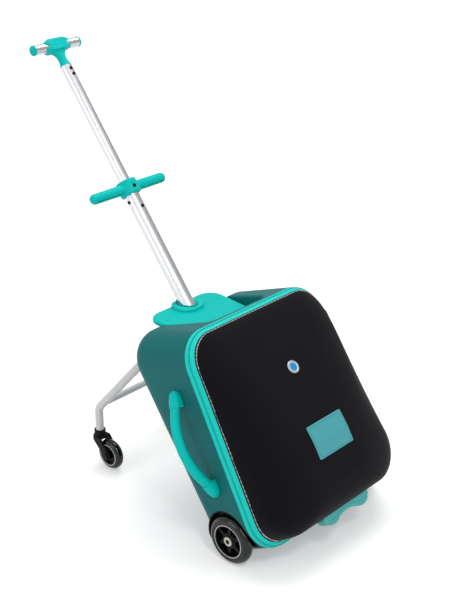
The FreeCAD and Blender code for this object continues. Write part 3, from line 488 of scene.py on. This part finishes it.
# Zip band: two woven tapes with a soft crown each, from back (inset, out) to front (inset, out), the coil between
zipBand = {"shell": ((0, 0.1 * mm), (2 * mm, 8 * mm)), "cover": ((2.6 * mm, 8.6 * mm), (7.6 * mm, 16.6 * mm)),
           "thick": 2.2 * mm, "crown": 0.5 * mm, "crownSunk": 0.8, "shares": (0.0, 0.06, 0.3, 0.5, 0.7, 0.94, 1.0),
           "coilInset": 2.4 * mm, "tooth": (1.5 * mm, 1.5 * mm, 2.2 * mm), "toothEase": 0.45 * mm,
           "toothPitch": 2.6 * mm, "toothRise": 0.7 * mm, "slack": 0.1 * mm}


def tapeSection(back, front):
    steps = []
    for share in zipBand["shares"]:
        lift = zipBand["crown"] * (1 - (2 * share - 1) ** 4)
        inset = back[0] + (front[0] - back[0]) * share
        steps.append((inset - lift + zipBand["crown"] * zipBand["crownSunk"],
                      back[1] + (front[1] - back[1]) * share))
    return steps + [(inset + zipBand["thick"], out) for inset, out in (front, back)]


for bandName, body, ends, cadTape, cadStrip in (
        ("shellTape", "case", zipBand["shell"], "shell_zip_tape", "hinge_fabric"),
        ("coverTape", "cover", zipBand["cover"], "cover_zip_tape", "cover_hinge_strip")):
    section = tapeSection(*ends)
    tape = rimBand(section)
    splitAtHinge(tape, False)
    setDown(tape, faceFrame, crease["cloth"], bandName, body, zipTurquoise, "zip_turquoise", cadTape)
    strip = rimBand(section)
    splitAtHinge(strip, True)
    setDown(strip, faceFrame, crease["cloth"], bandName + "Hinge", body, hingeBlack, "hinge_black", cadStrip)
print("zip tapes and hinge strips laid")

# Hinge webbing: one strip sewn inside both bands along the bottom edge
webbing = {"path": [(4.6, 1.0), (4.7, 3.0), (4.8, 4.5), (4.9, 6.0), (5.1, 7.0), (5.3, 8.0), (5.6, 9.0),
                    (6.0, 10.0), (6.8, 11.5), (7.7, 12.8), (9.2, 14.8)],
           "thick": 0.7 * mm, "bendFrom": 5.5 * mm, "bendTo": 11.5 * mm}
outer = [(inset * mm, out * mm) for inset, out in webbing["path"]]
hingeWebbing = rimBand(outer + [(inset + webbing["thick"], out) for inset, out in reversed(outer)])
splitAtHinge(hingeWebbing, True)
moveMesh(hingeWebbing, faceFrame)
smoothByAngle(hingeWebbing, crease["cloth"])
dress(hingeWebbing, "hingeWebbing", hingeBlack)
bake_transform(hingeWebbing)
print("hinge webbing sewn in")

# Coil of the zip: one pair of hooked teeth repeated round the rim
coil = easedBox(zipBand["tooth"], zipBand["toothEase"])
openMesh()
bpy.ops.transform.translate(value=(0, 0, zipBand["toothRise"]))
bpy.ops.mesh.duplicate_move(TRANSFORM_OT_translate={"value": (zipBand["toothPitch"] / 2, 0,
                                                              -2 * zipBand["toothRise"])})
closeMesh()
zipPath = rimLoop(zipBand["coilInset"], 0)
cutAtHinge(zipPath)
bpy.ops.object.mode_set(mode="EDIT")
bpy.ops.mesh.select_all(action="DESELECT")
closeMesh()
for edge in zipPath.data.edges:
    ends = [zipPath.data.vertices[i].co for i in edge.vertices]
    edge.select = all(abs(end.x) < rim["hingeHalf"] + zipBand["slack"] and end.y < 0 for end in ends)
bpy.ops.object.mode_set(mode="EDIT")
bpy.ops.mesh.delete(type="EDGE")
closeMesh()
runAlong(coil, zipPath, zipBand["toothPitch"])
setDown(coil, faceFrame @ Matrix.Translation((0, 0, rim["zipMiddle"])), crease["edge"],
        "zipCoil", "case", coilTurquoise, "turquoise")
print("zip coil", len(coil.data.polygons), "faces")

# Piping: a cloth-covered cord sewn between the tape and the dome
piping = {"inset": 10.6 * mm, "out": 18.9 * mm, "radius": 0.9 * mm, "sides": 10}
section = []
for i in range(piping["sides"]):
    turn = 2 * math.pi * i / piping["sides"]
    section.append((piping["inset"] - piping["radius"] * math.cos(turn),
                    piping["out"] + piping["radius"] * math.sin(turn)))
setDown(rimBand(section), faceFrame, crease["wire"],
        "pipingCord", "cover", pipingGrey, "piping_grey", "cover_piping")
# the cloth is turned in behind the piping and sewn to the tape
hem = {"edge": (8.6 * mm, 16.0 * mm), "under": (8.9 * mm, 17.7 * mm), "dome": (14.5 * mm, 20.6 * mm),
       "inside": (14.5 * mm, 16.0 * mm)}
setDown(rimBand(list(hem.values())), faceFrame, crease["edge"], "coverHem", "cover", coverBlack, "cover_black")
print("piping sewn in")

# Moulded pieces whose edges are rounded by the mould: remade from the solid and eased
moulded = {"t_grip": ("pullGrip", "upper_pole", 0.6 * mm, 8, turquoise, "turquoise"),
           "handlebar": ("childHandlebar", "lower_pole", 1.0 * mm, 6, turquoise, "turquoise"),
           "caster_fork_left": ("casterForkLeft", "caster_left", 0.8 * mm, 5, blackNylon, "black_plastic"),
           "caster_fork_right": ("casterForkRight", "caster_right", 0.8 * mm, 5, blackNylon, "black_plastic"),
           "seat_plate": ("seatPlate", "case", 1.3 * mm, 6, turquoise, "turquoise"),
           "standing_foot": ("standingFoot", "cover", 0.8 * mm, 12, footTealPaintedLit, "shell_teal")}
easing = 0.5
crossTube = {"radius": 9.4 * mm, "near": 0.6 * mm, "fuller": 1.05, "sleeve": 15 * mm, "lipFrom": 15 * mm,
             "lipTo": 31 * mm, "lipSunk": 0.4 * mm}
tubeSpots = spotsOf("t_bar", poleFrame.inverted())
crossTube["level"] = sum(spot.z for spot in tubeSpots) / len(tubeSpots)


def offTube(face):
    # false on the wall of the bore that the cross tube fills
    away = Vector((0, face.center.y, face.center.z - crossTube["level"]))
    return away.length > crossTube["radius"] + crossTube["near"] or face.normal.dot(away) > 0


eased = {}
for node, (name, body, voxel, steps, finish, slotName) in moulded.items():
    piece = copyOf(node)
    if node == "t_grip":    # its bore is closed first, so that the thin lips over the tube aren't lost
        moveMesh(piece, poleFrame.inverted())
        keepFaces(piece, offTube)
        closeHoles(piece)
        moveMesh(piece, poleFrame)
    useModifier(piece, "REMESH", mode="VOXEL", voxel_size=voxel, use_smooth_shade=True)
    useModifier(piece, "SMOOTH", factor=easing, iterations=steps)
    settle(piece, name, body, finish, slotName, node)
    eased[node] = piece
pullGrip = eased["t_grip"]
moveMesh(pullGrip, poleFrame.inverted())
for vert in pullGrip.data.vertices:
    if vert.co.z > crossTube["level"] - crossTube["sleeve"]:
        # the sleeve gets back what the easing took, and its lips close on the tube
        away = Vector((vert.co.y, vert.co.z - crossTube["level"])) * crossTube["fuller"]
        lip = (abs(vert.co.x) - crossTube["lipFrom"]) / (crossTube["lipTo"] - crossTube["lipFrom"])
        lip = min(max(lip, 0), 1) ** 2
        if away.length > crossTube["radius"]:
            reach = crossTube["radius"] - crossTube["lipSunk"]
            away *= (away.length + (reach - away.length) * lip) / away.length
        vert.co.y = away.x
        vert.co.z = crossTube["level"] + away.y
moveMesh(pullGrip, poleFrame)
print("moulded pieces eased")

# Carry caps: thimbles round the ends of the grip, tilted with it, each on a foot that meets the wall
caps = {"length": 31 * mm, "radius": 10.8 * mm, "tilt": 22.0, "mouthHeight": 14.1 * mm, "sunk": 1.0 * mm,
        "points": 32, "foot": 0.7, "rounding": 2,
        "rings": [(0.09, 0.70), (0.0, 0.83), (0.0, 0.93), (0.03, 0.99), (0.10, 1.0), (0.35, 1.0),
                  (0.55, 0.97), (0.72, 0.88), (0.86, 0.71), (0.95, 0.47), (0.99, 0.22)]}


def carryCap(node, name, tip):
    # rings drawn up from the dished mouth to the tip, then set along the wall; tip is 1 upwards, -1 downwards
    lows, highs = extent(node, faceFrame.inverted())
    mouth = lows[1] if tip > 0 else highs[1]
    middle = (lows[2] + highs[2]) / 2
    along, reach = caps["rings"][0]
    cap = newPiece(bpy.ops.mesh.primitive_circle_add, vertices=caps["points"], radius=caps["radius"] * reach)
    openMesh()
    for share, wide in caps["rings"][1:]:
        drawOn((share - along) * caps["length"], wide / reach, wide / reach)
        along, reach = share, wide
    closeMesh()
    closeHoles(cap)
    moveMesh(cap, Matrix.Translation((0, 0, caps["rings"][0][0] * caps["length"])))
    tilt = math.radians(caps["tilt"])
    for vert in cap.data.vertices:
        across, outward, along = vert.co
        height = caps["mouthHeight"] - along * math.sin(tilt) + outward * math.cos(tilt)
        away = math.hypot(across, outward)
        if outward < 0:    # the underside is filled down to the wall
            low = -outward / away
            height = height * (1 - low) - caps["sunk"] * low
            across = math.copysign(away * (abs(across) / away) ** caps["foot"], across)
        vert.co = (highs[0] - height, mouth + tip * (along * math.cos(tilt) + outward * math.sin(tilt)),
                   middle + across)
    faceOutward(cap)
    useModifier(cap, "SUBSURF", levels=caps["rounding"], render_levels=caps["rounding"])
    setDown(cap, faceFrame, crease["wire"], name, "case", turquoise, "turquoise", node)


carryCap("carry_cap_upper", "carryCapUpper", 1)
carryCap("carry_cap_lower", "carryCapLower", -1)
print("carry caps drawn over the grip")

# Standing foot: one groove along its face follows the arch
foot = {"low": -203 * mm, "arch": 8 * mm, "lobe": 50 * mm, "face": 52 * mm, "groove": 7.5 * mm, "width": 1.1 * mm,
        "depth": 1.1 * mm}
standingFoot = eased["standing_foot"]
moveMesh(standingFoot, faceFrame.inverted())
for vert in standingFoot.data.vertices:
    if vert.co.z > foot["face"]:
        lobeShare = min(abs(vert.co.x) / foot["lobe"], 1)
        edge = foot["low"] + foot["arch"] / 2 * (1 + math.cos(math.pi * lobeShare))
        vert.co.z -= foot["depth"] * math.exp(-((vert.co.y - edge - foot["groove"]) / foot["width"]) ** 2)
moveMesh(standingFoot, faceFrame)

# Handlebar: a thin dark wire along the underside of each bar, where the parting line of the mould runs, is painted
# shade
barSeam = {"radius": 10.0 * mm, "from": 24 * mm, "to": 86 * mm, "wire": 0.55 * mm, "ease": 0.2 * mm, "turn": 233.0}
seamTurn = math.radians(barSeam["turn"])
barLevels = [spot.z for spot in spotsOf("handlebar", poleFrame.inverted()) if spot.x > barSeam["to"]]
barSeam["along"] = (min(barLevels) + max(barLevels)) / 2
for side, word in bothSides:
    seam = newPiece(bpy.ops.mesh.primitive_cylinder_add, vertices=10, radius=barSeam["wire"],
                    depth=barSeam["to"] - barSeam["from"], rotation=(0, math.pi / 2, 0))
    bpy.ops.object.transform_apply(location=True, rotation=True, scale=True)
    openMesh()
    bpy.ops.mesh.bevel(offset=barSeam["ease"], segments=2, affect="EDGES")
    closeMesh()
    seamPlace = Matrix.Translation((side * (barSeam["from"] + barSeam["to"]) / 2,
                                    barSeam["radius"] * math.cos(seamTurn),
                                    barSeam["along"] + barSeam["radius"] * math.sin(seamTurn)))
    setDown(seam, poleFrame @ seamPlace, crease["wire"], "barSeam" + word, "lower_pole", seamShadePainted, "turquoise")
print("foot lined and handlebar parted")

# Badge: bright bezel round a plain enamel dome, lettering left off
badge = {"tilt": 13.8, "ringRadius": 10.6 * mm, "ringWire": 1.3 * mm, "ringFlat": 0.6, "domeRadius": 7.8 * mm,
         "domeRise": 0.9 * mm, "domeCut": 0.05 * mm}
badgeFrame = faceFrame.to_3x3() @ Matrix.Rotation(-math.radians(badge["tilt"]), 3, "X")
lows, highs = extent("badge_disc", badgeFrame.inverted())
badgePlace = Vector(((lows[0] + highs[0]) / 2, (lows[1] + highs[1]) / 2, highs[2]))
badgeSeat = badgeFrame.to_4x4() @ Matrix.Translation(badgePlace)
bezel = newPiece(bpy.ops.mesh.primitive_torus_add, major_radius=badge["ringRadius"],
                 minor_radius=badge["ringWire"], major_segments=72, minor_segments=14)
openMesh()
bpy.ops.transform.resize(value=(1, 1, badge["ringFlat"]), center_override=(0, 0, 0))
closeMesh()
setDown(bezel, badgeSeat, crease["ball"], "badgeBezel", "cover", bezelSteel, "steel")
enamel = newPiece(bpy.ops.mesh.primitive_uv_sphere_add, segments=48, ring_count=20, radius=badge["domeRadius"])
openMesh()
bpy.ops.mesh.bisect(plane_co=(0, 0, badge["domeCut"]), plane_no=(0, 0, 1), clear_inner=True, use_fill=True)
bpy.ops.mesh.select_all(action="SELECT")
bpy.ops.transform.resize(value=(1, 1, badge["domeRise"] / badge["domeRadius"]), center_override=(0, 0, 0))
closeMesh()
setDown(enamel, badgeSeat, crease["ball"], "badgeEnamel", "cover", badgeBlue, "badge_white")
print("badge set")

# Label: a bare woven patch that follows the dome, with a raised border, sewn down round its edge
label = {"width": 92 * mm, "height": 60 * mm, "middle": -57 * mm, "above": 150 * mm, "corner": 3 * mm,
         "cells": (62, 42), "base": 0.1 * mm, "thick": 1.1 * mm, "border": 0.4 * mm, "borderWidth": 2.4 * mm,
         "stitchInset": 3.2 * mm, "stitch": (3.0 * mm, 0.8 * mm, 0.7 * mm), "stitchEase": 0.3 * mm,
         "pitch": 4.6 * mm}
dome = bpy.data.objects.new("dome", coverCloth.data.copy())
bpy.context.collection.objects.link(dome)
moveMesh(dome, faceFrame.inverted())


def layOnDome(piece, lift):
    # let down from above the panel on to the cloth
    moveMesh(piece, Matrix.Translation((0, label["middle"], label["above"])))
    useModifier(piece, "SHRINKWRAP", target=dome, wrap_method="PROJECT", use_project_z=True,
                use_negative_direction=True, use_positive_direction=False, offset=lift)


patch = newPiece(bpy.ops.mesh.primitive_grid_add, x_subdivisions=label["cells"][0],
                 y_subdivisions=label["cells"][1], size=1)
openMesh()
bpy.ops.transform.resize(value=(label["width"], label["height"], 1))
closeMesh()
edgeGap = []
for vert in patch.data.vertices:
    inX = label["width"] / 2 - abs(vert.co.x)
    inY = label["height"] / 2 - abs(vert.co.y)
    edgeGap.append(min(inX, inY))
    past = Vector((max(0, label["corner"] - inX), max(0, label["corner"] - inY)))
    if past.length > label["corner"]:    # round the corner
        pull = past * (label["corner"] / past.length) - past
        vert.co.x += math.copysign(1, vert.co.x) * pull.x
        vert.co.y += math.copysign(1, vert.co.y) * pull.y
layOnDome(patch, label["base"])
for vert, gap in zip(patch.data.vertices, edgeGap):
    vert.co.z += label["border"] * math.exp(-((gap - label["stitchInset"]) / label["borderWidth"]) ** 4)
useModifier(patch, "SOLIDIFY", thickness=label["thick"], offset=1)
setDown(patch, faceFrame, crease["cloth"], "labelPatch", "cover", labelCloth, "label_teal", "label_patch")

stitches = easedBox(label["stitch"], label["stitchEase"])
sewLine = newPiece(bpy.ops.mesh.primitive_plane_add, size=1)
openMesh()
bpy.ops.transform.resize(value=(label["width"] - 2 * label["stitchInset"],
                                label["height"] - 2 * label["stitchInset"], 1))
bpy.ops.mesh.bevel(offset=label["corner"], segments=4, affect="VERTICES")
bpy.ops.mesh.select_all(action="SELECT")
bpy.ops.mesh.delete(type="ONLY_FACE")
bpy.ops.mesh.select_all(action="SELECT")
bpy.ops.mesh.subdivide(number_cuts=4)
closeMesh()
layOnDome(sewLine, label["base"] + label["border"] + label["thick"])
runAlong(stitches, sewLine, label["pitch"])
setDown(stitches, faceFrame, crease["cloth"], "labelStitches", "cover", threadTeal, "label_teal")
bpy.data.objects.remove(dome)
print("label sewn,", len(stitches.data.polygons), "faces of thread")

# Wheels: a pale printed ring on each side wall
wheels = {"rearCentre": (176.6 * mm, 0, 45 * mm), "rearFace": 10.8 * mm, "rearRing": 29.6 * mm,
          "casterCentre": (108.7 * mm, 380.0 * mm, 30.6 * mm), "casterFace": 9.0 * mm, "casterRing": 20.6 * mm,
          "ringWidth": 1.2 * mm, "ringLift": 0.12 * mm, "ringPoints": 96}


def printedRing(kind, side, word, face, ending):
    # flat ring about X, as thin as a print, on one face of a wheel
    radius = wheels[kind + "Ring"]
    ring = newPiece(bpy.ops.mesh.primitive_circle_add, vertices=wheels["ringPoints"], radius=radius,
                    rotation=(0, math.pi / 2, 0))
    bpy.ops.object.transform_apply(location=True, rotation=True, scale=True)
    openMesh()
    grow = (radius + wheels["ringWidth"]) / radius
    bpy.ops.mesh.extrude_edges_move(TRANSFORM_OT_translate={"value": (0, 0, 0)})
    bpy.ops.transform.resize(value=(1, grow, grow), center_override=(0, 0, 0))
    closeMesh()
    useModifier(ring, "SOLIDIFY", thickness=wheels["ringLift"] * 2, offset=0)
    x, y, z = wheels[kind + "Centre"]
    moveMesh(ring, Matrix.Translation((side * x + face * wheels[kind + "Face"], y, z)))
    body = kind + "_wheel_" + word.lower()
    settle(ring, kind + "Ring" + word + ending, body, badgeEnamel, "badge_white")


for side, word in bothSides:
    for face, ending in ((side, "Out"), (-side, "In")):
        printedRing("rear", side, word, face, ending)
        printedRing("caster", side, word, face, ending)
print("wheel rings printed")

# Socket bolts: a bright washer round a hexagon socket on each rear axle, the socket's floor dark as painted shade,
# dark heads on the casters
bolts = {"rearHead": (8.8 * mm, 3.7 * mm, 4.9 * mm), "rearOut": 184.2 * mm,
         "casterHead": (6.4 * mm, 3.0 * mm, 3.4 * mm), "casterOut": 14.3 * mm, "chamfer": 0.7 * mm,
         "sink": 0.5 * mm, "points": 36, "slack": 0.05 * mm}


def socketHead(radius, height, socket, name, body, finish, slotName, seat):
    # drawn up from a circle facing +Z, the floor of its shallow socket in dark steel as painted shade
    head = newPiece(bpy.ops.mesh.primitive_circle_add, vertices=bolts["points"], radius=radius)
    openMesh()
    before = radius
    chamfer = bolts["chamfer"]
    for rise, reach in ((height - chamfer, radius), (chamfer, radius - chamfer), (0, socket),
                        (-bolts["sink"], socket)):
        drawOn(rise, reach / before, reach / before)
        before = reach
    bpy.ops.mesh.edge_face_add()
    closeMesh()
    for vert in head.data.vertices:
        away = Vector((vert.co.x, vert.co.y))
        if away.length < socket + bolts["slack"]:    # pressed to a hexagon
            turn = math.atan2(away.y, away.x) % (math.pi / 3) - math.pi / 6
            flat = socket * math.cos(math.pi / 6) / math.cos(turn)
            vert.co.x *= flat / away.length
            vert.co.y *= flat / away.length
    faceOutward(head)
    setDown(head, seat, crease["bolt"], name, body, finish, slotName)
    # the socket floor takes the dark steel: painted shade in the recess
    head.data.materials.append(darkSteelAndSocketShade)
    for face in head.data.polygons:
        if len(face.vertices) == bolts["points"]:
            face.material_index = 1


for side, word in bothSides:
    seat = Matrix.Translation((side * bolts["rearOut"], 0, wheels["rearCentre"][2]))
    socketHead(*bolts["rearHead"], "axleHead" + word, "case", boltSteel, "steel",
               seat @ Matrix.Rotation(side * math.pi / 2, 4, "Y"))
    x, y, z = wheels["casterCentre"]
    for face, ending in ((side, "Out"), (-side, "In")):
        seat = Matrix.Translation((side * x + face * bolts["casterOut"], y, z))
        socketHead(*bolts["casterHead"], "casterHead" + word + ending, "caster_" + word.lower(), darkSteelAndSocketShade,
                   "dark_steel", seat @ Matrix.Rotation(face * math.pi / 2, 4, "Y"))
print("bolt heads set")

# Lining: glued-in cloth, a little loose between its corners
liningCut = {"flat": (0.56, 0.52), "area": 0.243, "longest": 16 * mm, "passes": 5, "draw": 0.992,
             "loose": 1.4 * mm, "wave": 48 * mm}
lining = copyOf("lining")
for step in range(liningCut["passes"]):
    for edge in lining.data.edges:
        ends = [lining.data.vertices[i].co for i in edge.vertices]
        edge.select = (ends[0] - ends[1]).length > liningCut["longest"]
    bpy.ops.object.mode_set(mode="EDIT")
    bpy.ops.mesh.select_mode(type="EDGE")
    bpy.ops.mesh.subdivide(number_cuts=1, ngon=False)
    bpy.ops.mesh.select_all(action="DESELECT")
    closeMesh()
corners = [Vector(corner) for corner in lining.bound_box]
middle = sum(corners, Vector()) / len(corners)
for vert in lining.data.vertices:
    vert.co = middle + (vert.co - middle) * liningCut["draw"]
    vert.co += noise.noise_vector(vert.co / liningCut["wave"]) * liningCut["loose"]
bpy.ops.object.mode_set(mode="EDIT")
bpy.ops.mesh.select_mode(type="VERT")
closeMesh()
smoothByAngle(lining, crease["edge"])
settle(lining, "liningCloth", "case", liningGrey, "lining_grey", "lining")
print("lining", len(lining.data.polygons), "faces")

# Room: a plain pale floor that keeps the shadow, under a white sky
room = {"floorSize": 14.0, "floorLevel": -0.5 * mm, "floorColor": "#f2f2f2", "nearGlow": 0.3, "farGlow": 0.62,
        "near": 0.7, "far": 2.4, "skyColor": "#ffffff", "sky": 0.5, "dimFrom": -0.6, "dimTo": 0.8, "dimSide": 0.5}
# Lamps, each with its place, its target, its size in metres and its power: one broad key overhead, two softer ones
# and a small one that streaks the tyres and grips
lamps = {"keyLight": ((0.7, 0.5, 2.7), (0, 0.1, 0.3), 1.8, 38.0),
         "fillLight": ((-1.5, -2.2, 2.0), (0, 0.1, 0.3), 1.8, 15.0),
         "sideLight": ((-2.6, 0.9, 1.2), (0, 0.1, 0.3), 1.4, 12.0),
         "glintLight": ((-0.8, -1.3, 2.1), (-0.15, 0.1, 0.1), 0.35, 9.0)}
# Camera fitted to the photo, its turn in degrees and its lens in millimetres
photoView = {"place": (-1.48234, -1.17565, 1.28746), "turn": (65.81, 0, -47.62), "lens": 73.317, "reach": 50}


def mathOf(tree, operation, first, second):
    return addNode(tree, "ShaderNodeMath", links={0: first, 1: second}, operation=operation).outputs["Value"]


def seenDirectly(tree):
    # camera, mirror and glass rays
    path = addNode(tree, "ShaderNodeLightPath").outputs
    two = mathOf(tree, "MAXIMUM", path["Is Camera Ray"], path["Is Glossy Ray"])
    return mathOf(tree, "MAXIMUM", two, path["Is Transmission Ray"])


floor = newPiece(bpy.ops.mesh.primitive_plane_add, (0, 0, room["floorLevel"]), size=room["floorSize"])
floor.name = "studioFloor"
floorMaterial, floorTree, floorShader, floorPlace = newMaterial("paleFloor", Roughness=0.9, Specular_IOR_Level=0.1)
floorShader.inputs["Base Color"].default_value = hexColor(room["floorColor"])
distance = addNode(floorTree, "ShaderNodeVectorMath", links={0: floorPlace}, operation="LENGTH")
fade = addNode(floorTree, "ShaderNodeMapRange",
               {"From Min": room["near"], "From Max": room["far"], "To Min": room["nearGlow"],
                "To Max": room["farGlow"]},
               {"Value": distance.outputs["Value"]}, interpolation_type="SMOOTHSTEP")
glow = mathOf(floorTree, "MULTIPLY", seenDirectly(floorTree), fade.outputs["Result"])
lit = addNode(floorTree, "ShaderNodeEmission", links={"Strength": glow})
both = addNode(floorTree, "ShaderNodeAddShader",
               links={0: floorShader.outputs["BSDF"], 1: lit.outputs["Emission"]})
floorTree.links.new(both.outputs["Shader"], floorTree.nodes["Material Output"].inputs["Surface"])
floor.data.materials.append(floorMaterial)

for name, (place, target, size, power) in lamps.items():
    lamp = newPiece(bpy.ops.object.light_add, place, type="AREA")
    lamp.name = name
    lamp.data.size = size
    lamp.data.energy = power
    lamp.rotation_euler = (Vector(target) - Vector(place)).to_track_quat("-Z", "Y").to_euler()

# the sky is white where it is seen, and dimmer to the right of the object in what shiny pieces mirror
world = bpy.data.worlds.new("studioWorld")
bpy.context.scene.world = world
world.use_nodes = True
skyTree = world.node_tree
sky = skyTree.nodes["Background"]
sky.inputs["Color"].default_value = hexColor(room["skyColor"])
skyPlace = addNode(skyTree, "ShaderNodeTexCoord").outputs["Generated"]
aim = addNode(skyTree, "ShaderNodeSeparateXYZ", links={0: skyPlace})
mirrored = addNode(skyTree, "ShaderNodeMapRange",
                   {"From Min": room["dimFrom"], "From Max": room["dimTo"], "To Min": 1.0,
                    "To Max": room["dimSide"]},
                   {"Value": aim.outputs["X"]})
cameraRay = addNode(skyTree, "ShaderNodeLightPath").outputs["Is Camera Ray"]
facing = mathOf(skyTree, "MAXIMUM", cameraRay, mirrored.outputs["Result"])
level = addNode(skyTree, "ShaderNodeMapRange", {"To Min": room["sky"]},
                {"Value": seenDirectly(skyTree), "To Max": facing})
skyTree.links.new(level.outputs["Result"], sky.inputs["Strength"])

camera = newPiece(bpy.ops.object.camera_add, photoView["place"],
                  rotation=[math.radians(angle) for angle in photoView["turn"]])
camera.name = "photoCamera"
camera.data.lens = photoView["lens"]
camera.data.clip_end = photoView["reach"]
bpy.context.scene.camera = camera
bpy.context.scene.view_settings.view_transform = "Standard"
print("room, lights and camera placed")
